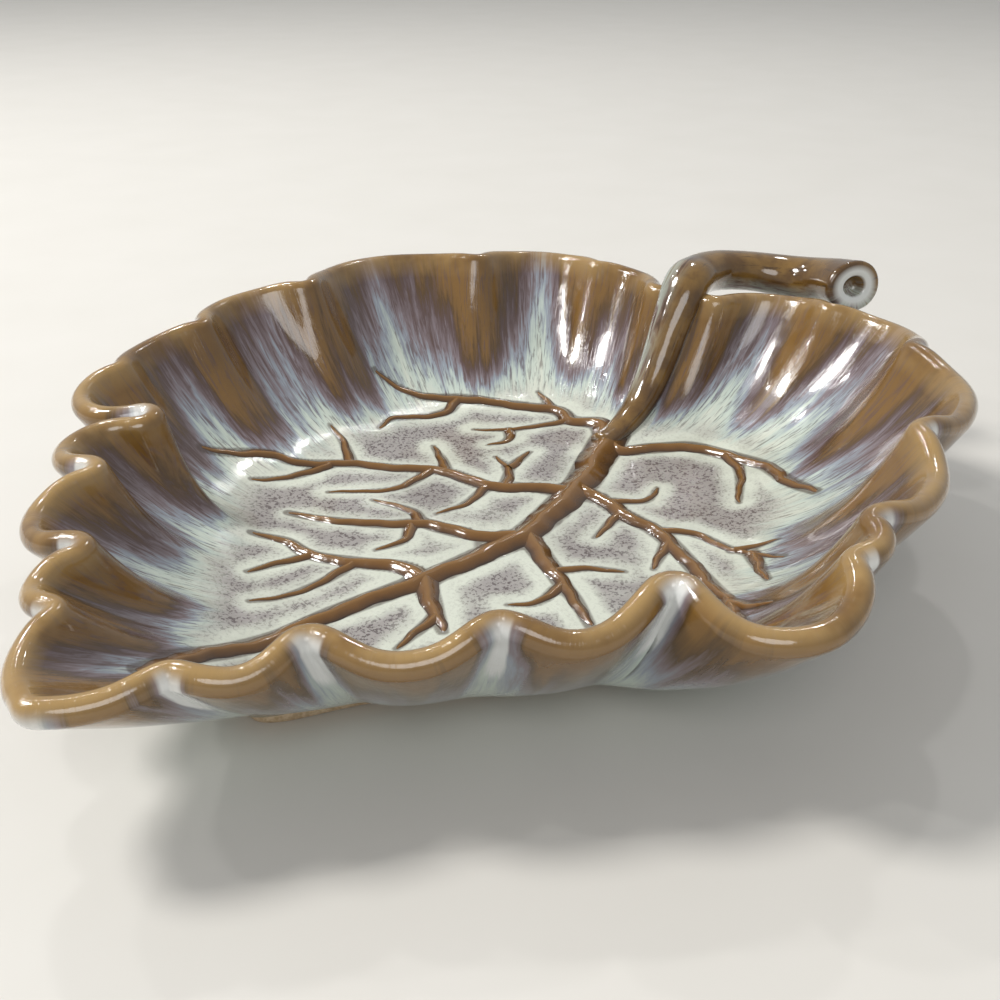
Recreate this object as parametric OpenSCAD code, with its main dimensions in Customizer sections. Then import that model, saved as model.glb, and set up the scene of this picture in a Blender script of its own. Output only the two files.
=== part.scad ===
// Leaf-shaped ring dish: a scalloped stoneware leaf on a low foot, with raised veins
// and a looped stem for a handle. Millimetres, +Z up, origin at the foot's centre on
// the table. The tip points along -X, the stem along +X.

/* [Leaf] */
// Length of the leaf from its tip to the lobes beside the stem
leaf_l = 202; // [170:1:230]
// Thickness of the wall and of its rolled lip
wall_t = 4.6; // [4:0.2:5]
// Mean height of the lip above the table
rim_h = 33.5; // [30:0.5:38]
// How far the lip dips at the tip and swells over the middle
rim_swell = 4.7; // [0:0.1:6]
// How far the lip rises at a fully pinched notch
notch_lift = 3; // [0:0.5:4]
// Share of the way out from the centre at which the floor starts to rise
floor_share = 0.3; // [0.25:0.01:0.4]
// Power of the wall's rise along the sides: a higher one gives a steeper wall
side_rise = 2.8; // [2:0.1:3]
// Power of the wall's rise at the tip, which slopes up more gently
tip_rise = 1.4; // [1.2:0.1:2]

/* [Foot] */
// Height of the foot ring
foot_h = 3; // [2:0.5:4]
// Width of the foot ring's face
foot_w = 4.5; // [3:0.5:6]

/* [Stem handle] */
// Width of the stem where it leaves the midrib
stem_root_w = 6; // [5:0.5:8]
// Width of the stem round the loop
stem_w = 11.4; // [9:0.2:12]
// Width across the cut end of the stem
stem_end_w = 14.5; // [12:0.5:16]
// Depth of the hollow in the cut end
pith_d = 3; // [1:0.5:5]

/* [Veins] */
// Width of the midrib where it meets the stem
midrib_w = 5.6; // [4:0.2:7]
// Width of a side vein at its root
vein_w = 3; // [2:0.1:4]
// Width of a twig at its root
twig_w = 1.8; // [1.2:0.1:2.4]
// Height of a vein as a share of its width
vein_rise = 0.42; // [0.3:0.02:0.5]

/* [Hidden] */

glaze_brown = [0.47, 0.33, 0.17];
glaze_pale = [0.68, 0.74, 0.70];
clay_bare = [0.78, 0.70, 0.58];

// Notches round the edge as seen from above, from the tip along the near side to the
// stem and back along the far side, for a leaf of 202: x, y, bulge of the lobe that
// follows, and how strongly the notch is pinched up.
notches = [
    [-100, -2, 1.5, 0], [-89, -15, 3.5, 0.5], [-73, -26, 4.5, 0.8], [-56, -47, 5, 1],
    [-35, -63, 14, 1], [-12, -84, 2.5, 0.7], [0, -82, 6, 0.8], [34, -77, 9.5, 0.8],
    [78, -60, 9, 0.7], [99, -31, 8.5, 0.5], [90, -4, 0.3, 0], [90, 10, 5, 0],
    [98, 33, 11, 0.3], [79, 61, 13.5, 0.3], [32, 78, 8.5, 0.5], [1, 82, 4, 0.3],
    [-24, 80, 11, 0.3], [-35, 57, 11.5, 0], [-57, 46, 10, 0.7], [-75, 26, 5.5, 0.7],
    [-89, 15, 3, 0.5]];
tip = 0;
stem_near = 10;
design_l = 202;
plan_k = leaf_l / design_l;

// A notch is pinched shut to this gap's radius on the outside.
groove_r = 0.5;
// Outer radius of the leaf's tip, just wide enough for the wall to turn inside it.
tip_r = wall_t + groove_r + 0.1;
// Length over which the lip rises into a notch, and of the swell from dip to crest.
lift_reach = 7;
swell_reach = 150;
// Samples on each lobe and on each notch.
lobe_n = 6;
notch_n = 2;
// How much the plan is stretched lengthwise and across on its way in to the centre.
spine_share = 0.35;
cross_share = 0.15;
share_fade = 0.3;
// Share of the way out at which the lobes start to show, and how they grow.
flute_from = 0.5;
flute_grow = 1.4;
// Places of the rings on the inner face, on the outer face and on the foot.
inner_levels = [0.14, 0.3, 0.42, 0.52, 0.61, 0.7, 0.79, 0.87, 0.94, 1];
outer_levels = [0.94, 0.87, 0.79, 0.7, 0.61, 0.54];
base_level = 0.48;
foot_level = 0.44;
lip_steps = 5;

n_notch = len(notches);
per_lobe = lobe_n + notch_n;
n_col = n_notch * per_lobe;
mid_floor_z = foot_h + wall_t / 2;

function wrap(a) = (a % 360 + 360) % 360;
function at(list, i) = list[(i + len(list)) % len(list)];
function spot(i) = [at(notches, i).x, at(notches, i).y] * plan_k;
function bulge(i) = at(notches, i)[2] * plan_k;
function pinch(i) = at(notches, i)[3];
function corner_r(i) = i % n_notch == tip ? tip_r : 0;

// Where a lobe's arc leaves the round tip, on the side that faces the other notch.
function tangent_spot(i, side) = let (d = spot(i + side) - spot(i), u = d / norm(d))
    spot(i) + [u.y, -u.x] * side * corner_r(i);
function lobe_start(i) = corner_r(i) == 0 ? spot(i) : tangent_spot(i, 1);
function lobe_end(i) = corner_r(i + 1) == 0 ? spot(i + 1) : tangent_spot(i + 1, -1);

// Arc between two points that bulges to the right: centre, radius and two angles.
function arc_through(p, q, b) = let (
        d = q - p,
        c = norm(d),
        out = [d.y, -d.x] / c,
        r = (c * c / 4 + b * b) / (2 * b),
        half = atan2(c / 2, r - b),
        middle = atan2(out.y, out.x))
    [(p + q) / 2 - out * (r - b), r, middle - half, middle + half];
lobes = [for (i = [0:n_notch - 1]) arc_through(lobe_start(i), lobe_end(i), bulge(i))];

// Columns round the edge, each a centre, a radius, a direction and a lift of the lip.
function lift_at(i, t) = let (c = norm(lobe_end(i) - lobe_start(i)) / lift_reach)
    notch_lift * (pinch(i) * exp(-pow(t * c, 2)) + pinch(i + 1) * exp(-pow((1 - t) * c, 2)));
function turn_at(i) = let (from = at(lobes, i - 1)[3], to = lobes[i][2])
    corner_r(i) > 0 ? wrap(to - from) : -wrap(from - to);
columns = [for (i = [0:n_notch - 1]) each concat(
    [for (j = [0:notch_n - 1])
        [spot(i), corner_r(i), at(lobes, i - 1)[3] + turn_at(i) * j / notch_n, notch_lift * pinch(i)]],
    [for (j = [0:lobe_n - 1])
        [lobes[i][0], lobes[i][1], lobes[i][2] + (lobes[i][3] - lobes[i][2]) * j / lobe_n,
            lift_at(i, j / lobe_n)]])];

// The edge at a depth inside the leaf's outer face, and its smooth mean outline.
function edge_at(depth) = [for (c = columns) c[0] + [cos(c[2]), sin(c[2])] * (c[1] - depth)];
function ring_mean(list, k) = [for (i = [0:len(list) - 1])
    [for (j = [-k:k]) 1] * [for (j = [-k:k]) at(list, i + j)] / (2 * k + 1)];
edge = edge_at(groove_r + wall_t / 2);
outline = ring_mean(ring_mean(edge, per_lobe / 2), per_lobe / 2);

function lip_z(x) = rim_h - rim_swell * cos(180 * (x / plan_k + design_l / 2 + 3) / swell_reach);
function clamp(v) = min(1, max(0, v));
function flute(r) = pow(clamp((r - flute_from) / (1 - flute_from)), flute_grow);
function power_at(x) = side_rise + (tip_rise - side_rise) * pow(clamp(-2 * x / leaf_l), 2);
function rise(r, x) = pow(clamp((r - floor_share) / (1 - floor_share)), power_at(x));
function x_share(r) = r + spine_share * (1 - r) * clamp(r / share_fade);
function y_share(r) = r + cross_share * (1 - r) * clamp(r / share_fade);

// One ring of the wall's middle surface, at a share of the way out from the centre.
function mid_ring(r) = let (q = flute(r), sx = x_share(r), sy = y_share(r)) [
    for (i = [0:n_col - 1]) let (
        p = outline[i] + (edge[i] - outline[i]) * q,
        top_out = lip_z(outline[i].x),
        top = top_out + (lip_z(edge[i].x) + columns[i][3] - top_out) * q - wall_t / 2)
    [p.x * sx, p.y * sy, mid_floor_z + (top - mid_floor_z) * rise(r, outline[i].x)]];

// Upward normals of a ring, from its neighbours and from rings just inside and outside.
step_r = 0.01;
function unit(v) = v / norm(v);
function ring_normals(r) = let (a = mid_ring(r - step_r), b = mid_ring(min(1, r + step_r)), m = mid_ring(r))
    [for (i = [0:n_col - 1]) unit(cross(b[i] - a[i], at(m, i + 1) - at(m, i - 1)))];
function face_ring(r, side) = let (m = mid_ring(r), n = ring_normals(r))
    [for (i = [0:n_col - 1]) m[i] + n[i] * side * wall_t / 2];
function lip_ring(a) = let (m = mid_ring(1), n = ring_normals(1)) [for (i = [0:n_col - 1]) let (
        along = unit(at(m, i + 1) - at(m, i - 1)),
        out = cross(along, n[i]))
    m[i] + (n[i] * cos(a) + out * sin(a)) * wall_t / 2];
function plan_ring(r, every = 1) = [for (i = [0:every:n_col - 1])
    [outline[i].x * x_share(r), outline[i].y * y_share(r)]];

// Faces between rings of n points each, laid one after another.
function strip_faces(rings, n) = [for (k = [0:rings - 2]) for (i = [0:n - 1])
    let (a = k * n + i, b = k * n + (i + 1) % n) each [[a, b, a + n], [b, b + n, a + n]]];

module leaf_bowl() {
    rings = concat(
        [for (r = inner_levels) face_ring(r, 1)],
        [for (k = [1:lip_steps - 1]) lip_ring(180 * k / lip_steps)],
        [face_ring(1, -1)],
        [for (r = outer_levels) face_ring(r, -1)],
        [[for (p = plan_ring(base_level)) [p.x, p.y, foot_h]]]);
    n_ring = len(rings);
    centre = [0, 0, foot_h + wall_t];
    hub = n_ring * n_col;
    faces = concat(
        [for (i = [0:n_col - 1]) [hub, (i + 1) % n_col, i]],
        strip_faces(n_ring, n_col),
        [[for (i = [0:n_col - 1]) (n_ring - 1) * n_col + i]]);
    color(glaze_pale)
        polyhedron(concat([for (g = rings) each g], [centre]), faces, convexity = 6);
}

module foot_ring() {
    face = plan_ring(foot_level, 4);
    inside = [for (p = face) p - unit(p) * foot_w];
    color(clay_bare)
        linear_extrude(foot_h)
            difference() {
                polygon(face);
                polygon(inside);
            }
}

// Height of the leaf's inner face above the table at a point in plan.
edge_table = [for (i = [0:n_col - 1]) [atan2(edge[i].y, edge[i].x), norm(edge[i])]];
outline_table = [for (i = [0:n_col - 1]) [atan2(outline[i].y, outline[i].x), norm(outline[i])]];
function reach_at(a, r) = let (o = lookup(a, outline_table)) o + (lookup(a, edge_table) - o) * flute(r);
function spread(p, r) = [p.x / x_share(r), p.y / y_share(r)];
function is_outside(p, r) = let (q = spread(p, r)) norm(q) > reach_at(atan2(q.y, q.x), r);
function share_at(p, lo = 0.02, hi = 1, n = 14) = let (m = (lo + hi) / 2)
    n == 0 ? m : is_outside(p, m) ? share_at(p, m, hi, n - 1) : share_at(p, lo, m, n - 1);
function inner_z(p) = let (
        r = share_at(p),
        q = spread(p, r),
        top = lip_z(q.x) - wall_t / 2 - mid_floor_z,
        grow = top * (rise(r + step_r, q.x) - rise(r - step_r, q.x)) / (2 * step_r),
        slope = grow / norm([q.x * (1 - spine_share), q.y * (1 - cross_share)]))
    mid_floor_z + top * rise(r, q.x) + wall_t / 2 * sqrt(1 + slope * slope);
function on_leaf(p) = [p.x, p.y, inner_z(p)];

// Everything under the leaf's inner face: the flat floor, and the rising part from one
// column to another, on the very facets of the bowl. It trims what lies on the leaf.
under_levels = concat([0.2], [for (r = inner_levels) if (r >= floor_share && r < 0.9) r]);
module under_floor() {
    linear_extrude(foot_h + wall_t) polygon(plan_ring(0.25, per_lobe));
}
module under_wall(first, last) {
    m = last - first + 1;
    k = len(under_levels);
    top = [for (r = under_levels) let (f = face_ring(r, 1)) each [for (i = [first:last]) at(f, i)]];
    round_trip = concat(
        [for (i = [0:m - 1]) i],
        [for (j = [1:k - 1]) j * m + m - 1],
        [for (i = [m - 2:-1:0]) (k - 1) * m + i],
        [for (j = [k - 2:-1:1]) j * m]);
    n = len(round_trip);
    foot = [for (i = round_trip) [top[i].x, top[i].y, 0]];
    faces = concat(
        [for (j = [0:k - 2]) for (i = [0:m - 2])
            let (a = j * m + i, b = a + 1) each [[a, b, a + m], [b, b + m, a + m]]],
        [for (i = [0:n - 1]) let (a = round_trip[i], b = at(round_trip, i + 1), c = k * m + i,
            d = k * m + (i + 1) % n) each [[a, c, b], [b, c, d]]],
        [[for (i = [n - 1:-1:0]) k * m + i]]);
    polyhedron(concat(top, foot), faces, convexity = 6);
}
// Columns that a set of lines passes over once it has left the flat floor.
side_margin = 12;
function column_angles(lines) = [for (l = lines) for (p = l)
    let (r = share_at(p * plan_k), q = spread(p * plan_k, r)) if (r > floor_share - 0.04) atan2(q.y, q.x)];
function columns_between(a, b) = [for (i = [0:n_col - 1])
    if (outline_table[i][0] > a && outline_table[i][0] < b) i];
module under_lines(lines) {
    angles = column_angles(lines);
    over = columns_between(min(angles) - side_margin, max(angles) + side_margin);
    under_floor();
    under_wall(over[0], over[len(over) - 1]);
}

// Smooth curve through points, and a tapered ridge that follows it on the leaf.
function curve_point(a, b, c, d, t) = (b * 2 + (c - a) * t + (a * 2 - b * 5 + c * 4 - d) * t * t
    + (b * 3 - a - c * 3 + d) * t * t * t) / 2;
function curve(pts, step) = let (n = len(pts)) concat(
    [for (i = [0:n - 2]) let (
            a = i == 0 ? pts[0] * 2 - pts[1] : pts[i - 1],
            d = i == n - 2 ? pts[n - 1] * 2 - pts[n - 2] : pts[i + 2],
            k = max(1, ceil(norm(pts[i + 1] - pts[i]) / step)))
        for (j = [0:k - 1]) curve_point(a, pts[i], pts[i + 1], d, j / k)],
    [pts[n - 1]]);

ridge_step = 4.5;
ridge_sink = 1.2;
ridge_arc = [0, 40, 90, 140, 180];
function ridge_section(p, dir, w) = let (
        side = [-dir.y, dir.x],
        a = on_leaf(p + side * 0.5),
        b = on_leaf(p - side * 0.5),
        s = unit(a - b),
        up = unit(cross([dir.x, dir.y, on_leaf(p + dir * 0.5).z - on_leaf(p - dir * 0.5).z], s)),
        c = (a + b) / 2)
    concat(
        [for (t = ridge_arc) c + s * cos(t) * w / 2 + up * sin(t) * w * vein_rise],
        [c - s * w / 2 - up * ridge_sink, c + s * w / 2 - up * ridge_sink]);
function turned(list) = [for (i = [len(list) - 1:-1:0]) list[i]];
module loft(sections) {
    n = len(sections[0]);
    k = len(sections);
    faces = concat(
        [[for (i = [0:n - 1]) i]],
        [for (f = strip_faces(k, n)) turned(f)],
        [[for (i = [n - 1:-1:0]) (k - 1) * n + i]]);
    polyhedron([for (s = sections) each s], faces, convexity = 6);
}
module ridge(path, w_root, w_end) {
    pts = curve([for (p = path) p * plan_k], ridge_step);
    n = len(pts);
    loft([for (i = [0:n - 1])
        let (dir = unit(pts[min(n - 1, i + 1)] - pts[max(0, i - 1)]))
        ridge_section(pts[i], dir, w_root + (w_end - w_root) * i / (n - 1))]);
}

// The midrib's line, and the side veins with their twigs, numbered from the stem to
// the tip. Each line is a list of points in plan, chosen by eye for a leaf of 202.
midrib_line = [[57, 4], [44, 0], [31, -4], [8, -7], [-6, -5], [-19, -2], [-44, 5], [-66, 7], [-80, 4]];
far_veins = [
    [[[55, 4], [61, 10], [60, 17], [62, 23], [57, 34], [50, 44], [43, 51], [39, 61]],
        [[62, 23], [66, 31]], [[50, 44], [43, 43], [32, 49], [26, 49]],
        [[60, 17], [53, 22], [47, 26], [42, 33]], [[47, 26], [42, 23], [37, 25]]],
    [[[28, -3], [25, 4], [20, 12], [20, 24], [15, 34], [10, 43], [1, 51], [-4, 57], [-16, 62]],
        [[20, 12], [10, 11], [3, 13]], [[20, 24], [24, 28], [29, 35]], [[10, 43], [15, 50], [17, 56]],
        [[6, 46], [-4, 48], [-12, 52]], [[18, 27], [9, 27], [4, 30], [-3, 38]],
        [[22, 9], [30, 14], [33, 20]], [[30, 14], [40, 15]]],
    [[[5, -6], [1, 0], [-1, 8], [-2, 13], [-7, 19], [-12, 29], [-15, 38]],
        [[-2, 13], [1, 18], [0, 28]], [[-4, 14], [-10, 11], [-16, 13]]],
    [[[-19, -2], [-18, 4], [-22, 13], [-25, 22], [-24, 30], [-27, 36]],
        [[-25, 22], [-33, 25], [-38, 26]], [[-22, 13], [-31, 13], [-39, 15], [-45, 18]]]];
near_veins = [
    [[[55, 4], [53, -2], [58, -7], [63, -14], [63, -23], [61, -33], [54, -42], [48, -51]],
        [[63, -23], [58, -29], [44, -36]]],
    [[[31, -4], [29, -11], [26, -19], [23, -29], [14, -42], [2, -55], [-9, -63]],
        [[24, -27], [27, -35], [24, -45], [20, -57]], [[24, -45], [28, -52]], [[23, -49], [11, -58]],
        [[21, -32], [10, -35]], [[2, -55], [-3, -65]], [[26, -18], [14, -19]], [[29, -12], [34, -19], [41, -18]]],
    [[[8, -7], [5, -10], [-2, -20], [-5, -24], [-9, -30], [-14, -36]],
        [[-2, -20], [3, -25], [6, -31]], [[-5, -24], [-13, -24], [-17, -20]]],
    [[[-19, -2], [-22, -5], [-26, -10], [-31, -16]], [[-28, -12], [-40, -13]]]];
vein_end_w = 1.6;
twig_end_w = 1;
midrib_end_w = 1.8;

module midrib_shape() {
    ridge(midrib_line, midrib_w, midrib_end_w);
}
module midrib() {
    color(glaze_brown)
        difference() {
            midrib_shape();
            under_floor();
            under_wall(-2 * per_lobe, 2 * per_lobe);
            under_wall((stem_near - 1) * per_lobe, (stem_near + 2) * per_lobe);
            stem_shape();
        }
}

module side_vein(lines) {
    color(glaze_brown)
        difference() {
            union() {
                ridge(lines[0], vein_w, vein_end_w);
                for (i = [1:len(lines) - 1]) ridge(lines[i], twig_w, twig_end_w);
            }
            under_lines(lines);
            midrib_shape();
            if (lines[0][0].x > stem_on_leaf[0].x) stem_shape();
        }
}

// The stem's middle line: up the inner wall, over the lip and round the loop. Each
// point has its width as a share of the way from the root to the loop, and its lift
// off the leaf; past the lip the points stand free, with their own height.
stem_on_leaf = [[53, 4, 0], [60, 3.5, 0.1], [68, 3, 0.3], [76, 3, 0.55], [82, 3, 0.8]];
stem_free = [[88, 3, 37.5], [95, 3.5, 38.2], [102, 2, 38], [108, -3, 37.3], [111.5, -8.5, 36.6],
    [113, -14.5, 36.3], [112.5, -20.5, 36.8], [110.5, -26, 37.8], [107.5, -31, 38.6]];
stem_sides = 12;
stem_step = 5;
stem_lift = 1.5;
loop_lift = rim_h - 33.5;
stem_points = concat(
    [for (p = stem_on_leaf) on_leaf([p.x, p.y] * plan_k) + [0, 0, stem_lift * p.z]],
    [for (p = stem_free) [p.x * plan_k, p.y * plan_k, p.z + loop_lift]]);
stem_widths = concat(
    [for (p = stem_on_leaf) stem_root_w + (stem_w - stem_root_w) * p.z],
    [for (i = [0:len(stem_free) - 1]) stem_w + (stem_end_w - stem_w) * pow(i / (len(stem_free) - 1), 3)]);
stem_height_share = 0.84;

module stem_shape() {
    data = curve([for (i = [0:len(stem_points) - 1])
        [stem_points[i].x, stem_points[i].y, stem_points[i].z, stem_widths[i]]], stem_step);
    mid = [for (d = data) [d.x, d.y, d.z]];
    n = len(data);
    end = n - 1;
    function dir_at(i) = unit(mid[min(end, i + 1)] - mid[max(0, i - 1)]);
    function section(i, k, shift) = let (
            d = dir_at(i),
            side = unit(cross([0, 0, 1], d)),
            up = cross(d, side),
            w = data[i][3] / 2 * k)
        [for (j = [0:stem_sides - 1]) let (t = 360 * j / stem_sides)
            mid[i] + d * shift + side * cos(t) * w + up * sin(t) * w * stem_height_share];
    round_over = 1;
    pith_share = 0.38;
    loft(concat(
        [for (i = [0:end]) section(i, 1, 0)],
        [section(end, 0.88, round_over),
            section(end, pith_share, round_over),
            section(end, pith_share * 0.8, round_over - pith_d)]));
}
module stem_handle() {
    color(glaze_brown)
        difference() {
            stem_shape();
            leaf_bowl();
        }
}

leaf_bowl();
foot_ring();
stem_handle();
midrib();
side_vein(far_veins[0]);  // vein_far_1
side_vein(far_veins[1]);  // vein_far_2
side_vein(far_veins[2]);  // vein_far_3
side_vein(far_veins[3]);  // vein_far_4
side_vein(near_veins[0]);  // vein_near_1
side_vein(near_veins[1]);  // vein_near_2
side_vein(near_veins[2]);  // vein_near_3
side_vein(near_veins[3]);  // vein_near_4
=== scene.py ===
"""Leaf-shaped ring dish in reactive glaze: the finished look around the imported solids."""
import math

import bpy
import numpy as np
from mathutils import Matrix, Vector
from mathutils.bvhtree import BVHTree


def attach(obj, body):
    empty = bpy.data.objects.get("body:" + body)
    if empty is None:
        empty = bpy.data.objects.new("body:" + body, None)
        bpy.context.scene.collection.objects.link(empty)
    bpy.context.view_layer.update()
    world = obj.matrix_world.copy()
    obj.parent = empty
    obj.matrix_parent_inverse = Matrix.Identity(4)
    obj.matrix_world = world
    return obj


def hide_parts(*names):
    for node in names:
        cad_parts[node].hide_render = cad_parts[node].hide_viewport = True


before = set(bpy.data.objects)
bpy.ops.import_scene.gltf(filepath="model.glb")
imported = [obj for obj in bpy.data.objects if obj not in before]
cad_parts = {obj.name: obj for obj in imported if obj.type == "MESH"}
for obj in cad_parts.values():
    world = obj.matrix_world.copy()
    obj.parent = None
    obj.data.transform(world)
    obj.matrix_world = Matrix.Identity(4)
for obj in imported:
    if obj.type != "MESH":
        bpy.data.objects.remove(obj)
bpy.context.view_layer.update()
MM = 0.001
FULL_TURN = 2 * math.pi

# The leaf's sizes in millimetres, and its shares, as in the part's source
LEAF_L = 202.0
WALL = 4.6
RIM_H = 33.5
RIM_SWELL = 4.7
NOTCH_LIFT = 3.0
FLOOR_SHARE = 0.3
SIDE_RISE = 2.8
TIP_RISE = 1.4
FOOT_H = 3.0
FOOT_W = 4.5
GROOVE_R = 0.5
TIP_R = WALL + GROOVE_R + 0.1
LIFT_REACH = 7.0
SWELL_REACH = 150.0
SPINE_SHARE = 0.35
CROSS_SHARE = 0.15
SHARE_FADE = 0.3
FLUTE_FROM = 0.5
FLUTE_GROW = 1.4
BASE_SHARE = 0.48
FOOT_SHARE = 0.44
FLOOR_Z = FOOT_H + WALL
# The lip is lowest this far past half of the leaf's length.
SWELL_START = 3.0

# Notches round the edge from the tip along the near side: x, y, bulge of the lobe that
# follows, and how strongly the notch is pinched up
NOTCHES = [
    (-100, -2, 1.5, 0), (-89, -15, 3.5, 0.5), (-73, -26, 4.5, 0.8), (-56, -47, 5, 1),
    (-35, -63, 14, 1), (-12, -84, 2.5, 0.7), (0, -82, 6, 0.8), (34, -77, 9.5, 0.8),
    (78, -60, 9, 0.7), (99, -31, 8.5, 0.5), (90, -4, 0.3, 0), (90, 10, 5, 0),
    (98, 33, 11, 0.3), (79, 61, 13.5, 0.3), (32, 78, 8.5, 0.5), (1, 82, 4, 0.3),
    (-24, 80, 11, 0.3), (-35, 57, 11.5, 0), (-57, 46, 10, 0.7), (-75, 26, 5.5, 0.7),
    (-89, 15, 3, 0.5)]
N_NOTCH = len(NOTCHES)

# How finely the skin is divided: columns on a lobe and on a notch, and rings as shares of
# the way out on the inner face, over the lip and on the outer face
LOBE_N = 26
NOTCH_N = 8
PER_LOBE = LOBE_N + NOTCH_N
N_COL = N_NOTCH * PER_LOBE
INNER_LEVELS = np.linspace(0.03, 1, 112)
OUTER_LEVELS = np.linspace(1, 0.5, 46)[1:]
LIP_STEPS = 14
BASE_MIDDLE = 0.2
# Step over which a ring's slope is measured
STEP_R = 0.004
# Height of the clay's unevenness, in millimetres
WOBBLE = 0.16
# The smooth lobes are drawn in this much, so that they stay inside the solid's box.
EDGE_DRAW = 0.995


# Geometry of the leaf

def spot(i):
    return np.array(NOTCHES[i % N_NOTCH][:2], float)


def corner_r(i):
    return TIP_R if i % N_NOTCH == 0 else 0.0


def lobe_end_spot(i, side):
    """Where the lobe on one side of notch i begins: the notch, or the tangent of the round tip."""
    if corner_r(i) == 0:
        return spot(i)
    d = spot(i + side) - spot(i)
    u = d / np.hypot(*d)
    return spot(i) + np.array([u[1], -u[0]]) * side * corner_r(i)


def arc_through(p, q, bulge):
    """Centre, radius and end angles of the arc from p to q that bulges out this far."""
    d = q - p
    c = np.hypot(*d)
    out = np.array([d[1], -d[0]]) / c
    r = (c * c / 4 + bulge * bulge) / (2 * bulge)
    half = math.atan2(c / 2, r - bulge)
    middle = math.atan2(out[1], out[0])
    return (p + q) / 2 - out * (r - bulge), r, middle - half, middle + half


def make_columns():
    """Columns round the edge: centre x and y, radius, direction, lift, and gap to the nearest notch."""
    starts = [lobe_end_spot(i, 1) for i in range(N_NOTCH)]
    ends = [lobe_end_spot(i + 1, -1) for i in range(N_NOTCH)]
    lobes = [arc_through(starts[i], ends[i], NOTCHES[i][2]) for i in range(N_NOTCH)]
    rows = []
    for i in range(N_NOTCH):
        centre, r, a0, a1 = lobes[i]
        before = lobes[i - 1][3]
        pinch0 = NOTCHES[i][3]
        pinch1 = NOTCHES[(i + 1) % N_NOTCH][3]
        turn = (a0 - before) % FULL_TURN if corner_r(i) > 0 else -((before - a0) % FULL_TURN)
        for j in range(NOTCH_N):
            rows.append([*spot(i), corner_r(i), before + turn * j / NOTCH_N, NOTCH_LIFT * pinch0, 0.0])
        chord = np.hypot(*(ends[i] - starts[i]))
        for j in range(LOBE_N):
            t = j / LOBE_N
            near = chord * t / LIFT_REACH
            far = chord * (1 - t) / LIFT_REACH
            lift = NOTCH_LIFT * (pinch0 * math.exp(-near ** 2) + pinch1 * math.exp(-far ** 2))
            rows.append([*centre, r, a0 + (a1 - a0) * t, lift, chord * min(t, 1 - t)])
    return np.array(rows).T


def ring_mean(points, k):
    """Each point of a closed ring averaged with k neighbours on both sides."""
    return sum(np.roll(points, j, axis=0) for j in range(-k, k + 1)) / (2 * k + 1)


arc_x, arc_y, arc_r, arc_a, column_lift, notch_gap = make_columns()
edge = np.c_[arc_x, arc_y] + np.c_[np.cos(arc_a), np.sin(arc_a)] * (arc_r - GROOVE_R - WALL / 2)[:, None]
outline = ring_mean(ring_mean(edge, PER_LOBE // 2), PER_LOBE // 2)


def lip_z(x):
    return RIM_H - RIM_SWELL * np.cos(math.pi * (x + LEAF_L / 2 + SWELL_START) / SWELL_REACH)


def x_share(r):
    return r + SPINE_SHARE * (1 - r) * min(1, r / SHARE_FADE)


def y_share(r):
    return r + CROSS_SHARE * (1 - r) * min(1, r / SHARE_FADE)


def mid_ring(r):
    """One ring of the wall's middle surface at a share of the way out from the centre."""
    q = max(0.0, (r - FLUTE_FROM) / (1 - FLUTE_FROM)) ** FLUTE_GROW
    p = outline + (edge - outline) * q
    base = FOOT_H + WALL / 2
    top_out = lip_z(outline[:, 0])
    top = top_out + (lip_z(edge[:, 0]) + column_lift - top_out) * q - WALL / 2
    power = SIDE_RISE + (TIP_RISE - SIDE_RISE) * np.clip(-2 * outline[:, 0] / LEAF_L, 0, 1) ** 2
    rise = max(0.0, (r - FLOOR_SHARE) / (1 - FLOOR_SHARE)) ** power
    return np.c_[p[:, 0] * x_share(r), p[:, 1] * y_share(r), base + (top - base) * rise]


def unit(v):
    return v / np.maximum(np.linalg.norm(v, axis=-1, keepdims=True), 1e-9)


def hand_wobble(points):
    """Slow unevenness of hand-pressed clay, between about -1.6 and 1.6."""
    x, y, z = points.T
    return (np.sin(x * 0.11 + y * 0.07 + 1.3) * np.sin(y * 0.13 - z * 0.17 + 0.4)
            + 0.6 * np.sin(x * 0.29 - y * 0.23 + z * 0.2) * np.sin(x * 0.19 + y * 0.31 + 2.1))


def uneven_ring(r, fade=1.0):
    """A ring of the wall's middle, made uneven, with its upward normals and the directions along it."""
    m = mid_ring(r)
    across = mid_ring(min(1, r + STEP_R)) - mid_ring(r - STEP_R)
    along = np.roll(m, -1, axis=0) - np.roll(m, 1, axis=0)
    n = unit(np.cross(across, along))
    return m + n * (hand_wobble(m) * WOBBLE)[:, None] * fade, n, unit(along)


def base_ring(share):
    return np.c_[outline * [x_share(share), y_share(share)], np.full(N_COL, FOOT_H)]


def leaf_rings():
    """Rings of the skin from the middle of the floor, over the lip, to the base.

    Each has its points, its share of the way out, and how far it is over the lip.
    """
    rings = []
    for r in INNER_LEVELS:
        m, n, _ = uneven_ring(r, fade=min(1, r))
        rings.append((m + n * WALL / 2, r, 0.0))
    m, n, along = uneven_ring(1.0)
    out = np.cross(along, n)
    for k in range(1, LIP_STEPS):
        a = math.pi * k / LIP_STEPS
        rings.append((m + (n * math.cos(a) + out * math.sin(a)) * WALL / 2, 1.0, k / LIP_STEPS))
    rings.append((m - n * WALL / 2, 1.0, 1.0))
    for r in OUTER_LEVELS:
        m, n, _ = uneven_ring(r)
        rings.append((m - n * WALL / 2, r, 1.0))
    rings.append((base_ring(BASE_SHARE), BASE_SHARE, 1.0))
    rings.append((base_ring(BASE_MIDDLE), BASE_MIDDLE, 1.0))
    return rings


# Mesh helpers

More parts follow.
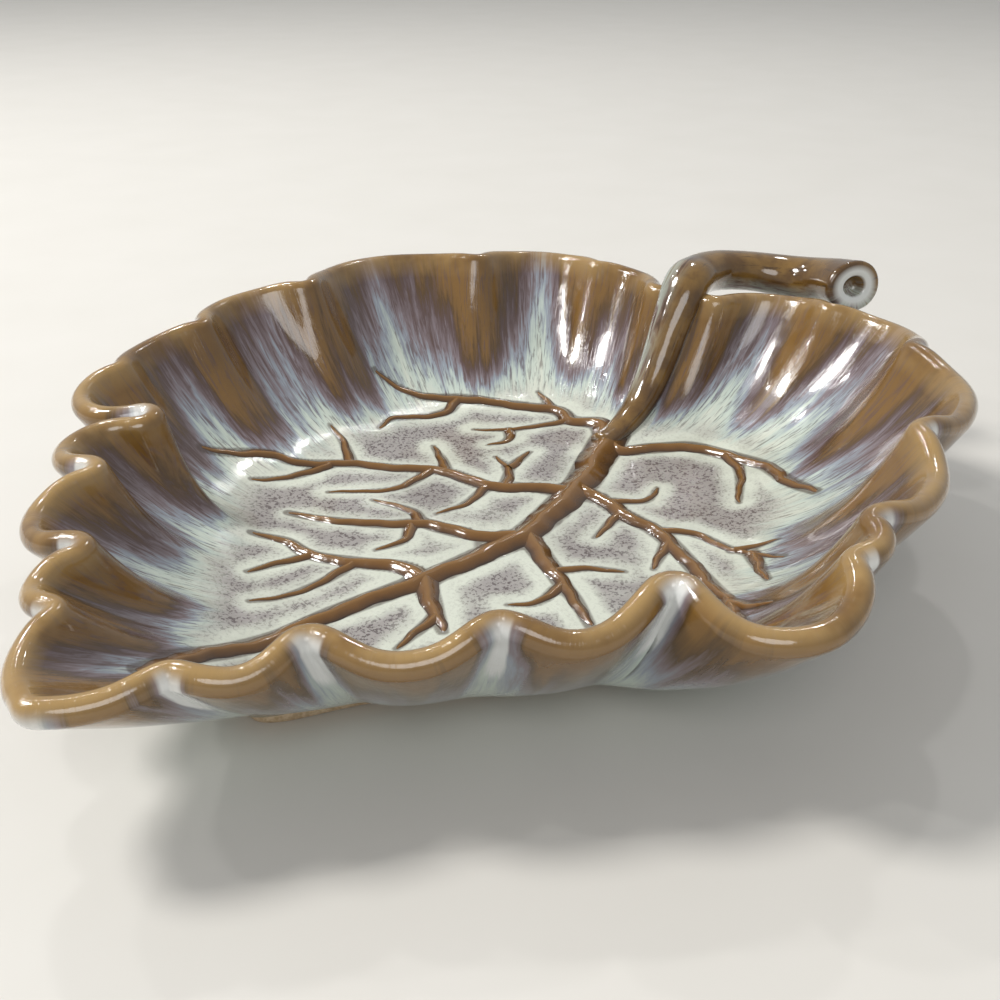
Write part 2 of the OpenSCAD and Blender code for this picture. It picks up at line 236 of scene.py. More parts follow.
def strip_faces(n_ring, n, closed=True):
    """Quads between rings of n points each."""
    last = n if closed else n - 1
    return [(k * n + i, k * n + (i + 1) % n, (k + 1) * n + (i + 1) % n, (k + 1) * n + i)
            for k in range(n_ring - 1) for i in range(last)]


def turned(faces):
    return [tuple(reversed(f)) for f in faces]


def new_piece(name, points, faces, material, nodes):
    """A smooth mesh piece in metres from points in millimetres, riding on the dish."""
    mesh = bpy.data.meshes.new(name)
    mesh.from_pydata((np.asarray(points) * MM).tolist(), [], faces)
    mesh.polygons.foreach_set("use_smooth", [True] * len(mesh.polygons))
    mesh.materials.append(material)
    mesh.update()
    piece = bpy.data.objects.new(name, mesh)
    bpy.context.scene.collection.objects.link(piece)
    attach(piece, "root")
    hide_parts(*nodes)
    return piece


def add_value(piece, name, values):
    data = piece.data.attributes.new(name, "FLOAT", "POINT").data
    data.foreach_set("value", np.asarray(values, np.float32))


def add_vector(piece, name, values):
    data = piece.data.attributes.new(name, "FLOAT_VECTOR", "POINT").data
    data.foreach_set("vector", np.asarray(values, np.float32).ravel())


def grow(values, start, span):
    """From 0 at the start to 1 a span later."""
    return np.clip((values - start) / span, 0, 1)


def shrink(values, stop, span):
    """From 1 down to 0 over the span before the stop."""
    return np.clip((stop - values) / span, 0, 1)


def lengths_along(path):
    return np.r_[0, np.cumsum(np.linalg.norm(np.diff(path, axis=0), axis=1))]


DROP_HEIGHT = 100.0


def dropped(surface, x, y):
    """Where a spot in plan lands on the leaf's inner face, and the face's normal there."""
    hit, normal, _, _ = surface.ray_cast(Vector((x, y, DROP_HEIGHT)), Vector((0, 0, -1)))
    return np.array(hit), np.array(normal)


# Node helpers

GLAZE_IOR = 1.5
COAT_WEIGHT = 0.6
COAT_ROUGH = 0.04
BUMP_STRENGTH = 0.6


class Nodes:
    """Short calls for the nodes that every glaze here is built from."""

    def __init__(self, name):
        self.material = bpy.data.materials.new(name)
        self.material.use_nodes = True
        self.tree = self.material.node_tree
        self.shader = self.tree.nodes["Principled BSDF"]

    def link(self, a, b):
        self.tree.links.new(a, b)

    def put(self, socket, value):
        if isinstance(value, bpy.types.NodeSocket):
            self.link(value, socket)
        else:
            socket.default_value = value

    def value(self, name):
        node = self.tree.nodes.new("ShaderNodeAttribute")
        node.attribute_name = name
        return node.outputs["Fac"]

    def vector(self, name):
        node = self.tree.nodes.new("ShaderNodeAttribute")
        node.attribute_name = name
        return node.outputs["Vector"]

    def place(self):
        return self.tree.nodes.new("ShaderNodeTexCoord").outputs["Object"]

    def axis(self, vector, name):
        node = self.tree.nodes.new("ShaderNodeSeparateXYZ")
        self.link(vector, node.inputs[0])
        return node.outputs[name]

    def scaled(self, vector, scale):
        node = self.tree.nodes.new("ShaderNodeMapping")
        node.inputs["Scale"].default_value = scale
        self.link(vector, node.inputs["Vector"])
        return node.outputs[0]

    def math(self, kind, a, b, clamp=False):
        node = self.tree.nodes.new("ShaderNodeMath")
        node.operation = kind
        node.use_clamp = clamp
        self.put(node.inputs[0], a)
        self.put(node.inputs[1], b)
        return node.outputs[0]

    def add(self, total, *others):
        for other in others:
            total = self.math("ADD", total, other)
        return total

    def times(self, a, b):
        return self.math("MULTIPLY", a, b)

    def less(self, a, b):
        return self.math("SUBTRACT", a, b)

    def inverse(self, value):
        return self.less(1.0, value)

    def sway(self, value, amount, middle=0.5):
        """How far a value stands from its middle, times an amount."""
        return self.times(self.less(value, middle), amount)

    def step(self, value, low, high):
        """A smooth step from 0 at the low value to 1 at the high one."""
        node = self.tree.nodes.new("ShaderNodeMapRange")
        node.interpolation_type = "SMOOTHSTEP"
        self.link(value, node.inputs["Value"])
        node.inputs["From Min"].default_value = low
        node.inputs["From Max"].default_value = high
        return node.outputs["Result"]

    def noise(self, vector, scale, detail=4, rough=0.6, warp=0.0):
        node = self.tree.nodes.new("ShaderNodeTexNoise")
        self.link(vector, node.inputs["Vector"])
        node.inputs["Scale"].default_value = scale
        node.inputs["Detail"].default_value = detail
        node.inputs["Roughness"].default_value = rough
        node.inputs["Distortion"].default_value = warp
        return node.outputs["Fac"]

    def ramp(self, value, stops):
        node = self.tree.nodes.new("ShaderNodeValToRGB")
        self.link(value, node.inputs["Fac"])
        elements = node.color_ramp.elements
        while len(elements) < len(stops):
            elements.new(0.5)
        for element, (at, colour) in zip(elements, stops):
            element.position = at
            element.color = colour
        return node.outputs["Color"]

    def mix(self, share, a, b):
        """From colour a to colour b. A colour mix has its two colours in sockets 6 and 7."""
        node = self.tree.nodes.new("ShaderNodeMix")
        node.data_type = "RGBA"
        self.put(node.inputs[0], share)
        self.put(node.inputs[6], a)
        self.put(node.inputs[7], b)
        return node.outputs[2]

    def finish(self, colour, rough, height, depth):
        """Glassy glaze over the colour, with a bump of the given depth in metres."""
        self.put(self.shader.inputs["Base Color"], colour)
        self.put(self.shader.inputs["Roughness"], rough)
        self.shader.inputs["IOR"].default_value = GLAZE_IOR
        self.shader.inputs["Coat Weight"].default_value = COAT_WEIGHT
        self.shader.inputs["Coat Roughness"].default_value = COAT_ROUGH
        bump = self.tree.nodes.new("ShaderNodeBump")
        bump.inputs["Distance"].default_value = depth
        bump.inputs["Strength"].default_value = BUMP_STRENGTH
        self.link(height, bump.inputs["Height"])
        self.link(bump.outputs[0], self.shader.inputs["Normal"])
        return self.material


def srgb(r, g, b):
    """A colour seen as r, g, b out of 255, as the linear values that shaders take."""
    return tuple((c / 12.92 if c <= 0.04045 else ((c + 0.055) / 1.055) ** 2.4)
                 for c in (r / 255, g / 255, b / 255)) + (1.0,)


# Colours of the reactive glaze, as seen
LIP_TAN = srgb(164, 134, 84)
AMBER = srgb(120, 88, 42)
OLIVE = srgb(84, 62, 34)
DARK_BROWN = srgb(58, 38, 20)
MAUVE = srgb(122, 110, 114)
DEEP_MAUVE = srgb(88, 70, 68)
GREY_BLUE = srgb(142, 150, 160)
CELADON = srgb(186, 198, 188)
CREAM = srgb(204, 208, 194)
MILK = srgb(216, 218, 216)
SPECK = srgb(74, 62, 62)
CLAY = srgb(196, 172, 138)
# Colours of the veins, from the crest of a ridge to the line at its foot
VEIN_CREST = srgb(122, 86, 38)
VEIN_SIDE = srgb(104, 70, 28)
VEIN_FOOT = srgb(74, 48, 20)
VEIN_LINE = srgb(48, 32, 18)
# Colours of the stem, of the ring round its pith, of the foot and of the table
STEM_LIGHT = srgb(122, 92, 44)
STEM_DARK = srgb(88, 62, 28)
PITH_WHITE = srgb(214, 216, 212)
FOOT_LIGHT = srgb(206, 184, 152)
FOOT_DARK = srgb(176, 150, 116)
TABLE_DARK = srgb(206, 203, 196)
TABLE_LIGHT = srgb(212, 209, 203)


def inner_wall(n, level, fur, streak, hair):
    """Celadon from the floor, then mauve, then brown that hangs down in tongues at the notches."""
    tongue = n.noise(n.scaled(fur, (1, 1, 0.05)), 0.75, detail=2, rough=0.5)
    height = n.add(level, n.sway(streak, 0.5), n.sway(hair, 0.26), n.sway(tongue, 0.5),
                   n.sway(n.value("tongues"), 0.24, middle=0.4))
    colour = n.ramp(height, [
        (0.0, CREAM), (0.46, CREAM), (0.60, CELADON), (0.69, GREY_BLUE), (0.77, MAUVE),
        (0.86, DEEP_MAUVE), (0.91, OLIVE), (1.0, AMBER)])
    strands = n.times(n.step(hair, 0.5, 0.66), n.step(level, 0.55, 0.62))
    return n.mix(n.times(strands, 0.6), colour, DEEP_MAUVE)


def floor_cells(n, place, gap):
    """Cells between the veins: pale at their edges, grey-purple and speckled in the middle."""
    grains = n.step(n.noise(place, 1500.0, detail=2), 0.52, 0.60)
    blot = n.noise(place, 60.0, detail=3)
    far_side = n.step(n.axis(place, "Y"), -0.005, 0.025)
    deep = n.add(n.step(gap, 1.2, 5.5), n.sway(blot, 2.6, middle=0.52))
    deep = n.math("ADD", deep, n.times(far_side, 0.3), clamp=True)
    colour = n.mix(n.times(deep, 0.72), CREAM, MAUVE)
    colour = n.mix(n.times(grains, n.add(n.times(deep, 0.7), 0.12)), colour, SPECK)
    return n.mix(n.times(n.inverse(n.step(gap, 0.7, 1.5)), 0.55), colour, CREAM)


def outer_wall(n, level, streak):
    """Brown under the lip, mauve, then milky blue, with milk pooled down the notches and a bare base."""
    crease = n.value("crease")
    height = n.less(n.add(level, n.sway(streak, 0.5)), n.times(crease, 0.22))
    colour = n.ramp(height, [
        (0.0, CELADON), (0.66, CELADON), (0.76, GREY_BLUE), (0.84, MAUVE), (0.91, OLIVE),
        (0.98, AMBER)])
    pooled = n.add(crease, n.sway(streak, 0.6))
    colour = n.mix(n.step(pooled, 0.78, 0.97), colour, MILK)
    return n.mix(n.inverse(n.step(level, 0.47, 0.5)), colour, CLAY)


def leaf_glaze():
    """Glaze that is pale on the floor, streaked on the walls, and tan where it thins on the lip."""
    n = Nodes("reactive_glaze")
    level = n.value("level")
    gap = n.value("vein_gap")
    fur = n.vector("fur")
    place = n.place()
    # Long streaks and fine hairs that run down the wall, and broad clouds
    streak = n.noise(n.scaled(fur, (1, 1, 0.12)), 2.6, detail=5, rough=0.62, warp=0.5)
    hair = n.noise(n.scaled(fur, (1, 1, 0.16)), 11.0, warp=0.8)
    cloud = n.noise(place, 45.0)
    on_wall = n.step(n.add(level, n.sway(streak, 0.2)), 0.5, 0.66)
    inner = n.mix(on_wall, floor_cells(n, place, gap), inner_wall(n, level, fur, streak, hair))
    # A thin dark line hugs each vein
    inner = n.mix(n.times(n.inverse(n.step(gap, 0.0, 0.55)), 0.7), inner, DARK_BROWN)
    body = n.mix(n.step(n.value("outside"), 0.35, 0.75), inner, outer_wall(n, level, streak))
    tan = n.mix(n.step(cloud, 0.42, 0.62), LIP_TAN, AMBER)
    body = n.mix(n.times(n.value("lip"), 0.85), body, tan)
    body = n.mix(n.times(n.step(cloud, 0.5, 0.75), 0.22), body, DARK_BROWN)
    rough = n.add(n.times(cloud, 0.10), 0.07)
    height = n.add(n.noise(place, 160.0, detail=3, rough=0.5), n.times(hair, 0.35))
    return n.finish(body, rough, height, depth=0.00035)


def vein_glaze():
    """Brown on the crest of a ridge, darker towards its foot."""
    n = Nodes("vein_glaze")
    place = n.place()
    cloud = n.noise(place, 190.0)
    body = n.ramp(n.add(n.value("across"), n.sway(cloud, 0.5)), [
        (0.0, VEIN_CREST), (0.45, VEIN_SIDE), (0.8, VEIN_FOOT), (1.0, VEIN_LINE)])
    rough = n.add(n.times(cloud, 0.12), 0.10)
    return n.finish(body, rough, n.noise(place, 320.0, detail=3, rough=0.5), depth=0.0003)


def stem_glaze():
    """Brown with dark streaks, a painted reflection in pale colours on the flank facing the key lamp, pale
    glaze underneath where it stands free, and dark where the stem meets the wall.
    """
    n = Nodes("stem_glaze")
    place = n.place()
    cloud = n.noise(place, 120.0)
    streak = n.noise(n.scaled(n.vector("run"), (0.25, 1, 1)), 3.0, detail=5, warp=0.6)
    brown = n.mix(n.step(cloud, 0.35, 0.65), STEM_LIGHT, STEM_DARK)
    pale = n.mix(n.step(streak, 0.42, 0.6), CELADON, MAUVE)
    # Painted reflection: pale colours on the flank that faces the key lamp, and real pale glaze underneath
    # where the stem stands free
    body = n.mix(n.times(n.value("reflection_and_pale_glaze"), n.times(n.step(streak, 0.3, 0.45), 0.75)), brown, pale)
    body = n.mix(n.times(n.step(streak, 0.56, 0.66), 0.7), body, DARK_BROWN)
    body = n.mix(n.times(n.value("hem"), 0.85), body, DARK_BROWN)
    body = n.mix(n.value("ring"), body, PITH_WHITE)
    rough = n.add(n.times(cloud, 0.10), 0.07)
    return n.finish(body, rough, n.noise(place, 200.0, detail=3, rough=0.5), depth=0.0003)


def bare_clay():
    """Unglazed clay of the foot, matt and grainy."""
    n = Nodes("bare_clay")
    grain = n.noise(n.place(), 900.0, rough=0.7)
    body = n.mix(n.step(grain, 0.4, 0.65), FOOT_LIGHT, FOOT_DARK)
    material = n.finish(body, 0.75, grain, depth=0.0002)
    n.shader.inputs["Coat Weight"].default_value = 0.0
    return material


# Lines of the midrib and the side veins, in plan, as in the part's source
MIDRIB = [(57, 4), (44, 0), (31, -4), (8, -7), (-6, -5), (-19, -2), (-44, 5), (-66, 7), (-80, 4)]
FAR_VEINS = [
    [[(55, 4), (61, 10), (60, 17), (62, 23), (57, 34), (50, 44), (43, 51), (39, 61)],
     [(62, 23), (66, 31)], [(50, 44), (43, 43), (32, 49), (26, 49)],
     [(60, 17), (53, 22), (47, 26), (42, 33)], [(47, 26), (42, 23), (37, 25)]],
    [[(28, -3), (25, 4), (20, 12), (20, 24), (15, 34), (10, 43), (1, 51), (-4, 57), (-16, 62)],
     [(20, 12), (10, 11), (3, 13)], [(20, 24), (24, 28), (29, 35)], [(10, 43), (15, 50), (17, 56)],
     [(6, 46), (-4, 48), (-12, 52)], [(18, 27), (9, 27), (4, 30), (-3, 38)],
     [(22, 9), (30, 14), (33, 20)], [(30, 14), (40, 15)]],
    [[(5, -6), (1, 0), (-1, 8), (-2, 13), (-7, 19), (-12, 29), (-15, 38)],
     [(-2, 13), (1, 18), (0, 28)], [(-4, 14), (-10, 11), (-16, 13)]],
    [[(-19, -2), (-18, 4), (-22, 13), (-25, 22), (-24, 30), (-27, 36)],
     [(-25, 22), (-33, 25), (-38, 26)], [(-22, 13), (-31, 13), (-39, 15), (-45, 18)]]]
NEAR_VEINS = [
    [[(55, 4), (53, -2), (58, -7), (63, -14), (63, -23), (61, -33), (54, -42), (48, -51)],
     [(63, -23), (58, -29), (44, -36)]],
    [[(31, -4), (29, -11), (26, -19), (23, -29), (14, -42), (2, -55), (-9, -63)],
     [(24, -27), (27, -35), (24, -45), (20, -57)], [(24, -45), (28, -52)], [(23, -49), (11, -58)],
     [(21, -32), (10, -35)], [(2, -55), (-3, -65)], [(26, -18), (14, -19)],
     [(29, -12), (34, -19), (41, -18)]],
    [[(8, -7), (5, -10), (-2, -20), (-5, -24), (-9, -30), (-14, -36)],
     [(-2, -20), (3, -25), (6, -31)], [(-5, -24), (-13, -24), (-17, -20)]],
    [[(-19, -2), (-22, -5), (-26, -10), (-31, -16)], [(-28, -12), (-40, -13)]]]
# Widths of a line at its root and at its end, and a ridge's height as a share of its width
MIDRIB_W = (7.0, 2.2)
VEIN_W = (4.1, 1.5)
TWIG_W = (2.3, 0.8)
VEIN_RISE = 0.32
# A ridge's divisions, the reach of its soft skirt and of its visible foot, both as shares of
# its half width, and how far the skirt's edge sinks into the leaf
RIDGE_STEP = 0.6
RIDGE_SIDES = 11
SKIRT = 1.5
RIDGE_FOOT = 1.3
CAD_SINK = 0.35
# Shape across a ridge: how fast it falls, what is taken off so that it ends at the leaf, and
# where its colour is darkest
BELL_FALL = 1.6
BELL_FLOOR = 0.06
DARK_REACH = 1.25
# A ridge narrows and sinks over the last eighth of its length, to these shares, and is held
# on its line over the first tenth.
END_TAPER = 8
ROOT_HOLD = 10
END_WIDTH = 0.35
END_HEIGHT = 0.3
# Its width varies by this share of the wander, and more slowly than its line does.
WIDTH_WANDER = 0.12
WIDTH_PACE = 0.7
# Steps of the wander's seed, from one node to the next and from a ridge's line to its width
NODE_SEED = 1.7
WIDTH_SEED = 5
# Distance from the veins beyond which the glaze no longer follows them
VEIN_REACH = 20.0


def curve(points, step):
    """Smooth curve through points, sampled about every step."""
    p = np.array(points, float)
    p = np.vstack([2 * p[0] - p[1], p, 2 * p[-1] - p[-2]])
    out = []
    for i in range(1, len(p) - 2):
        a, b, c, d = p[i - 1:i + 3]
        k = max(1, math.ceil(np.linalg.norm(c - b) / step))
        for t in np.arange(k) / k:
            out.append((2 * b + (c - a) * t + (2 * a - 5 * b + 4 * c - d) * t * t
                        + (3 * b - a - 3 * c + d) * t ** 3) / 2)
    return np.array(out + [p[-2]])


def vein_lines():
    """Every vein line with its widths, grouped by the node that it belongs to."""
    groups = {"midrib": [(MIDRIB, MIDRIB_W)]}
    for side, veins in (("far", FAR_VEINS), ("near", NEAR_VEINS)):
        for k, lines in enumerate(veins):
            widths = [VEIN_W] + [TWIG_W] * (len(lines) - 1)
            groups[f"vein_{side}_{k + 1}"] = list(zip(lines, widths))
    return groups


def wander(s, seed):
    """Small unsteadiness of a line trailed by hand, in millimetres."""
    return 0.3 * np.sin(s * 0.4 + seed) + 0.12 * np.sin(s * 1.1 + 2 * seed)


def ridge(line, widths, surface, seed):
    """A soft ridge along a line on the leaf: points, faces and how far each is from its middle."""
    path = curve(line, RIDGE_STEP)
    along = unit(np.gradient(path, axis=0))
    s = lengths_along(path)
    share = s / s[-1]
    side = np.c_[-along[:, 1], along[:, 0]]
    fade = np.clip((1 - share) * END_TAPER, 0, 1) ** 0.5
    path = path + side * (wander(s, seed) * np.clip(share * ROOT_HOLD, 0, 1))[:, None]
    width = widths[0] + (widths[1] - widths[0]) * share
    width = width * (1 + WIDTH_WANDER * wander(s * WIDTH_PACE, seed + WIDTH_SEED))
    width = width * (END_WIDTH + (1 - END_WIDTH) * fade)
    points, across = [], []
    for p, w, d, f in zip(path, width, side, fade):
        for j in range(RIDGE_SIDES):
            t = 2 * j / (RIDGE_SIDES - 1) - 1
            q = p + d * t * w / 2 * SKIRT
            hit, normal = dropped(surface, *q)
            bell = math.exp(-(t * SKIRT) ** 2 * BELL_FALL)
            up = w * VEIN_RISE * (bell - BELL_FLOOR) * (END_HEIGHT + (1 - END_HEIGHT) * f)
            if abs(t) == 1:
                up = -CAD_SINK
            points.append(hit + normal * up)
            across.append(min(1.0, abs(t) * SKIRT / DARK_REACH))
    faces = turned(strip_faces(len(path), RIDGE_SIDES, closed=False))
    return points, faces, across


def make_veins(surface, material):
    for seed, (node, lines) in enumerate(vein_lines().items()):
        points, faces, across = [], [], []
        for j, (line, widths) in enumerate(lines):
            p, f, a = ridge(line, widths, surface, seed * NODE_SEED + j)
            faces += [tuple(i + len(points) for i in face) for face in f]
            points += p
            across += a
        piece = new_piece(node + "_glazed", points, faces, material, [node])
        add_value(piece, "across", across)


def vein_distance(points):
    """Distance in plan from each point to the foot of the nearest vein, in millimetres."""
    samples = []
    for lines in vein_lines().values():
        for line, widths in lines:
            path = curve(line, 1.0)
            half = np.linspace(widths[0], widths[1], len(path)) / 2 * RIDGE_FOOT
            samples.append(np.c_[path, half])
    samples = np.vstack(samples)
    out = np.empty(len(points))
    chunk = 4000
    for k in range(0, len(points), chunk):
        away = np.linalg.norm(points[k:k + chunk, None, :2] - samples[None, :, :2], axis=2)
        out[k:k + chunk] = (away - samples[None, :, 2]).min(1)
    return np.clip(out, 0, VEIN_REACH)


# Where the leaf's glaze changes: reach from a notch in millimetres, then shares of the way out
CREASE_REACH = 3.0
CREASE_FROM = 0.62
CREASE_SPAN = 0.3
TONGUE_REACH = 6.5
TONGUE_FROM = 0.55
TONGUE_SPAN = 0.2
# The lip's tan is strongest this share of the way over it, with a fainter band inside the lip.
LIP_MIDDLE = 0.36
LIP_SPREAD = 0.32
LIP_FROM = 0.985
BAND_FROM = 0.965
BAND_SPAN = 0.035
BAND_STRENGTH = 0.75
# Scale of the streaks round the edge and down the wall
FUR_ROUND = 0.12
FUR_DOWN = 8


def fur_vectors(level):
    """Coordinates that streaks follow: round the edge on a circle, and down the wall."""
    girth = np.cumsum(np.linalg.norm(np.roll(outline, -1, axis=0) - outline, axis=1))
    turn = girth / girth[-1] * FULL_TURN
    reach = girth[-1] / FULL_TURN * FUR_ROUND
    circle = np.c_[np.cos(turn) * reach, np.sin(turn) * reach]
    return np.c_[np.tile(circle, (len(level) // N_COL, 1)), level * FUR_DOWN]


def make_leaf(material):
    """The bowl, with the values that its glaze follows. It gives back the inner face for ray casts."""
    rings = leaf_rings()
    level = np.repeat([r[1] for r in rings], N_COL)
    outside = np.repeat([r[2] for r in rings], N_COL)
    points = np.vstack([r[0] for r in rings]) * [EDGE_DRAW, EDGE_DRAW, 1]
    n = len(points)
    last = n - N_COL
    # The middles of the floor and of the base close the skin
    points = np.vstack([points, [[0, 0, FLOOR_Z], [0, 0, FOOT_H]]])
    faces = turned(strip_faces(len(rings), N_COL))
    faces += [(n, i, (i + 1) % N_COL) for i in range(N_COL)]
    faces += [(n + 1, last + (i + 1) % N_COL, last + i) for i in range(N_COL)]
    piece = new_piece("leaf_bowl_glazed", points, faces, material, ["leaf_bowl"])
    add_vector(piece, "fur", np.vstack([fur_vectors(level), np.zeros((2, 3))]))
    level = np.r_[level, 0, BASE_MIDDLE]
    outside = np.r_[outside, 0, 1]
    add_value(piece, "level", level)
    add_value(piece, "outside", outside)
    gap = np.r_[np.tile(notch_gap, len(rings)), np.inf, np.inf]
    add_value(piece, "crease", np.exp(-(gap / CREASE_REACH) ** 2) * grow(level, CREASE_FROM, CREASE_SPAN))
    add_value(piece, "tongues", np.exp(-(gap / TONGUE_REACH) ** 2) * grow(level, TONGUE_FROM, TONGUE_SPAN))
    lip = np.exp(-((outside - LIP_MIDDLE) / LIP_SPREAD) ** 2) * (level > LIP_FROM)
    band = grow(level, BAND_FROM, BAND_SPAN) * (outside < 0.5) * BAND_STRENGTH
    add_value(piece, "lip", np.maximum(lip, band))
    add_value(piece, "vein_gap", np.where(outside > 0.5, VEIN_REACH, vein_distance(points)))
    inner = len(INNER_LEVELS) * N_COL
    inner_faces = [f for f in faces if max(f) < inner or f[0] == n]
    return BVHTree.FromPolygons(points.tolist(), inner_faces)


# Profile of the foot ring: in from its outer face, and up from the table, with rounded edges
FOOT_SINK = 0.3
FOOT_PROFILE = [
    (0.0, FOOT_H + FOOT_SINK), (0.0, 1.0), (0.25, 0.35), (0.9, 0.0),
    (FOOT_W - 0.9, 0.0), (FOOT_W - 0.25, 0.35), (FOOT_W, 1.0), (FOOT_W, FOOT_H + FOOT_SINK)]
# The ring takes every fourth column of the leaf.
FOOT_EVERY = 4


def make_foot(material):
    """The low foot ring, ground flat underneath."""
    face = outline[::FOOT_EVERY] * [x_share(FOOT_SHARE), y_share(FOOT_SHARE)]
    inward = -unit(face)
    points = np.vstack([np.c_[face + inward * d, np.full(len(face), z)] for d, z in FOOT_PROFILE])
    faces = turned(strip_faces(len(FOOT_PROFILE), len(face)))
    new_piece("foot_ring_clay", points, faces, material, ["foot_ring"])


# The stem's middle line up the wall, where the third number is the share of its full lift
# and width, and then free in space round the loop, as in the part's source
STEM_ON_LEAF = [(53, 4, 0), (60, 3.5, 0.1), (68, 3, 0.3), (76, 3, 0.55), (82, 3, 0.8)]
STEM_FREE = [
    (88, 3, 37.5), (95, 3.5, 38.2), (102, 2, 38), (108, -3, 37.3), (111.5, -8.5, 36.6),
    (113, -14.5, 36.3), (112.5, -20.5, 36.8), (110.5, -26, 37.8), (107.5, -31, 38.6)]
STEM_ROOT_W = 6.0
STEM_W = 11.4
STEM_END_W = 14.5
STEM_LIFT = 1.5
STEM_FLAT = 0.84
STEM_SIDES = 40
STEM_STEP = 0.9
# Past the end of the line, and as a share of the end's width: round edge, flat face and pith
STEM_END = [
    (0.5, 0.985), (0.85, 0.94), (1.0, 0.86), (1.0, 0.62), (0.95, 0.46), (0.4, 0.38), (-1.2, 0.33),
    (-2.0, 0.2)]
# The white ring lies between these shares of the end's width.
RING_FROM = 0.42
RING_TO = 0.8
RING_STRENGTH = 0.95
# How far along the stem it leaves the wall, where its dark edge ends and its painted reflection on the
# flank starts
WALL_RUN = 62
WALL_SPAN = 12
HEM_RUN = 46
HEM_SPAN = 8
REFLECTION_RUN = 14
REFLECTION_SPAN = 10
# Direction in the stem's section of the painted reflection on its flank, how high the dark edge reaches in
# it, and how soon the stem is pale underneath where it stands free
REFLECTION_TURN = 0.6
HEM_TOP = 0.4
HEM_SOFT = 0.45
UNDER_GAIN = 1.3
# Scale of the stem's streaks along it
RUN_SCALE = 0.12


def stem_line(surface):
    """Points and widths of the stem's middle line."""
    rows = []
    for x, y, share in STEM_ON_LEAF:
        hit, _ = dropped(surface, x, y)
        width = STEM_ROOT_W + (STEM_W - STEM_ROOT_W) * share
        rows.append([hit[0], hit[1], hit[2] + STEM_LIFT * share, width])
    for i, p in enumerate(STEM_FREE):
        rows.append([*p, STEM_W + (STEM_END_W - STEM_W) * (i / (len(STEM_FREE) - 1)) ** 3])
    line = curve(rows, STEM_STEP)
    return line[:, :3], line[:, 3]


def make_stem(surface, material):
    """The stem from the midrib over the lip and round its loop, with a hollow end."""
    mid, width = stem_line(surface)
    along = unit(np.gradient(mid, axis=0))
    s = lengths_along(mid)
    t = np.linspace(0, FULL_TURN, STEM_SIDES, endpoint=False)

    def section(i, scale, shift):
        side = unit(np.cross([0, 0, 1], along[i]))
        up = np.cross(along[i], side)
        lump = 1 + 0.02 * np.sin(3 * t + s[i] * 0.11) + 0.015 * np.sin(2 * t - s[i] * 0.23)
        spokes = np.outer(np.cos(t), side) + np.outer(np.sin(t), up) * STEM_FLAT
        return mid[i] + along[i] * shift + spokes * (width[i] / 2 * scale * lump)[:, None]

    end = len(mid) - 1
    rings = [(section(i, 1, 0), s[i], 0.0) for i in range(end + 1)]
    for shift, scale in STEM_END:
        white = RING_STRENGTH if RING_FROM < scale < RING_TO else 0.0
        rings.append((section(end, scale, shift), s[end] + shift, white))
    points = np.vstack([r[0] for r in rings])
    n = len(points)
    faces = strip_faces(len(rings), STEM_SIDES)
    faces += [tuple(reversed(range(STEM_SIDES))), tuple(range(n - STEM_SIDES, n))]
    piece = new_piece("stem_handle_glazed", points, faces, material, ["stem_handle"])
    around = np.tile(t, len(rings))
    run = np.repeat([r[1] for r in rings], STEM_SIDES)
    add_vector(piece, "run", np.c_[run * RUN_SCALE, np.cos(around), np.sin(around)])
    on_wall = shrink(run, WALL_RUN, WALL_SPAN)
    # Painted reflection on the flank that faces the key lamp, along the part of the stem on the wall
    reflection_and_pale_glaze = np.clip(np.cos(around - REFLECTION_TURN), 0, 1) ** 3 * on_wall * grow(run, REFLECTION_RUN, REFLECTION_SPAN)
    under = np.clip(-np.sin(around) * UNDER_GAIN, 0, 1) * (1 - on_wall)
    hem = shrink(np.sin(around), HEM_TOP, HEM_SOFT) * shrink(run, HEM_RUN, HEM_SPAN)
    add_value(piece, "reflection_and_pale_glaze", np.maximum(reflection_and_pale_glaze, under))
    add_value(piece, "hem", hem)
    add_value(piece, "ring", np.repeat([r[2] for r in rings], STEM_SIDES))


# Camera in millimetres, from the photograph's perspective
CAMERA_AZIMUTH = math.radians(-53.6)
CAMERA_ELEVATION = math.radians(27.1)
CAMERA_DISTANCE = 282.0
CAMERA_TARGET = Vector((28.0, 14.9, 0.0))
FOCAL_PX = 1245
FRAME_PX = 1000
SENSOR = 36.0


def make_camera():
    a, e = CAMERA_AZIMUTH, CAMERA_ELEVATION
    back = Vector((math.sin(a) * math.cos(e), -math.cos(a) * math.cos(e), math.sin(e)))
    data = bpy.data.cameras.new("camera")
    data.sensor_width = SENSOR
    data.sensor_height = SENSOR
    data.lens = FOCAL_PX / FRAME_PX * SENSOR
    data.clip_start = 0.01
    camera = bpy.data.objects.new("camera", data)
    camera.location = (CAMERA_TARGET + back * CAMERA_DISTANCE) * MM
    camera.rotation_euler = back.to_track_quat("Z", "Y").to_euler()
    bpy.context.scene.collection.objects.link(camera)
    bpy.context.scene.camera = camera


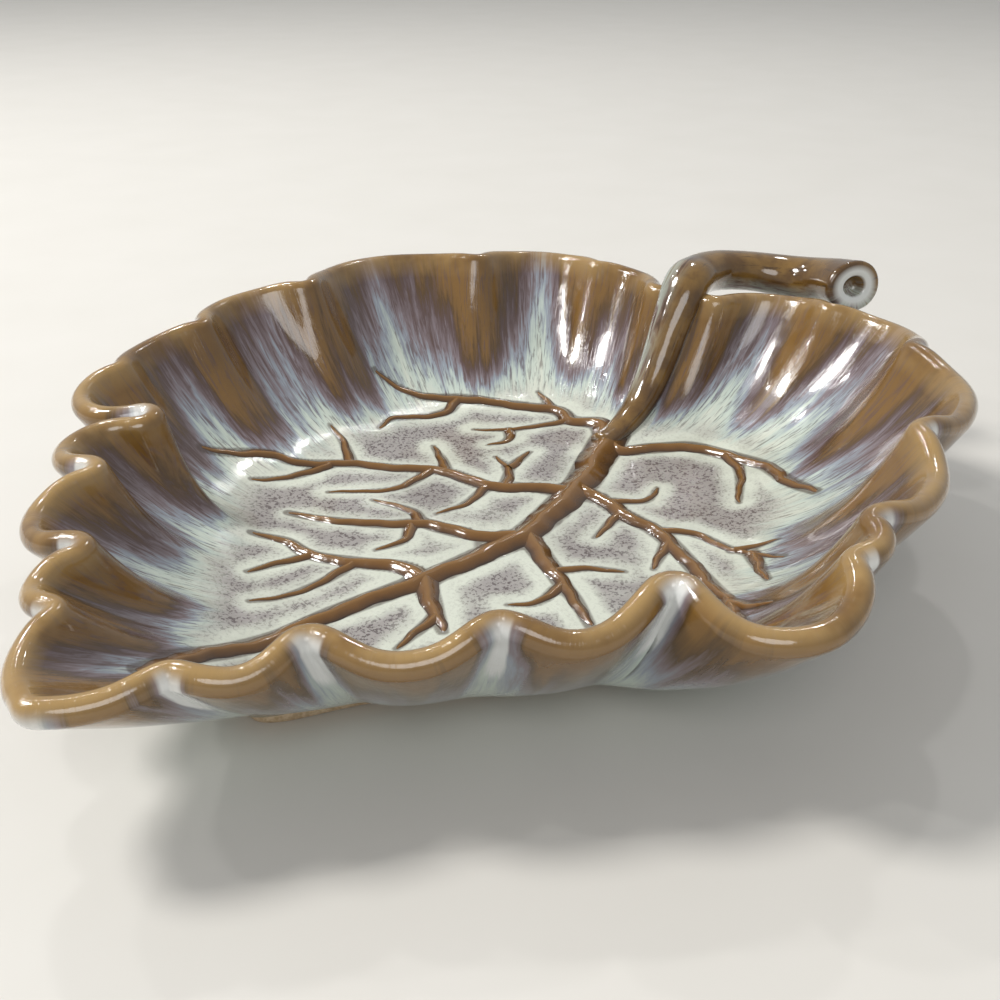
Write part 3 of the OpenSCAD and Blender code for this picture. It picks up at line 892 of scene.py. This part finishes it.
# Floor and lamps in metres and watts: a key from behind the dish, a wide fill from the front,
# and small lamps whose reflections dot the glaze
FLOOR_SIZE = 3.0
ROOM_COLOUR = (0.86, 0.88, 0.9, 1)
ROOM_STRENGTH = 0.5
KEY_PLACE = (-0.35, 0.75, 1.1)
KEY_COLOUR = (1, 0.98, 0.95)
FILL_PLACE = (-0.9, -0.7, 0.9)
SMALL_PLACES = [(0.25, 0.6, 0.75), (0.05, 0.9, 0.8), (0.75, 0.25, 0.8), (-0.5, 0.6, 0.7)]


def make_floor():
    bpy.ops.mesh.primitive_plane_add(size=FLOOR_SIZE)
    floor = bpy.context.active_object
    floor.name = "floor"
    n = Nodes("floor")
    mottle = n.noise(n.place(), 30.0, detail=3, rough=0.5)
    n.put(n.shader.inputs["Base Color"], n.mix(mottle, TABLE_DARK, TABLE_LIGHT))
    n.shader.inputs["Roughness"].default_value = 0.6
    floor.data.materials.append(n.material)


def area_lamp(name, place, size, power, colour=(1, 1, 1)):
    """A round lamp that faces the dish."""
    data = bpy.data.lights.new(name, "AREA")
    data.shape = "DISK"
    data.size = size
    data.energy = power
    data.color = colour
    lamp = bpy.data.objects.new(name, data)
    lamp.location = place
    lamp.rotation_euler = Vector(place).to_track_quat("Z", "Y").to_euler()
    bpy.context.scene.collection.objects.link(lamp)


def make_lights():
    world = bpy.data.worlds.new("room")
    bpy.context.scene.world = world
    world.use_nodes = True
    world.node_tree.nodes["Background"].inputs["Color"].default_value = ROOM_COLOUR
    world.node_tree.nodes["Background"].inputs["Strength"].default_value = ROOM_STRENGTH
    area_lamp("key", KEY_PLACE, size=0.34, power=13.0, colour=KEY_COLOUR)
    area_lamp("fill", FILL_PLACE, size=0.8, power=6.0)
    for k, place in enumerate(SMALL_PLACES):
        area_lamp(f"lamp_{k + 1}", place, size=0.045, power=0.9)


make_camera()
make_floor()
make_lights()
surface = make_leaf(leaf_glaze())
make_veins(surface, vein_glaze())
make_stem(surface, stem_glaze())
make_foot(bare_clay())
bpy.context.scene.view_settings.view_transform = "Standard"
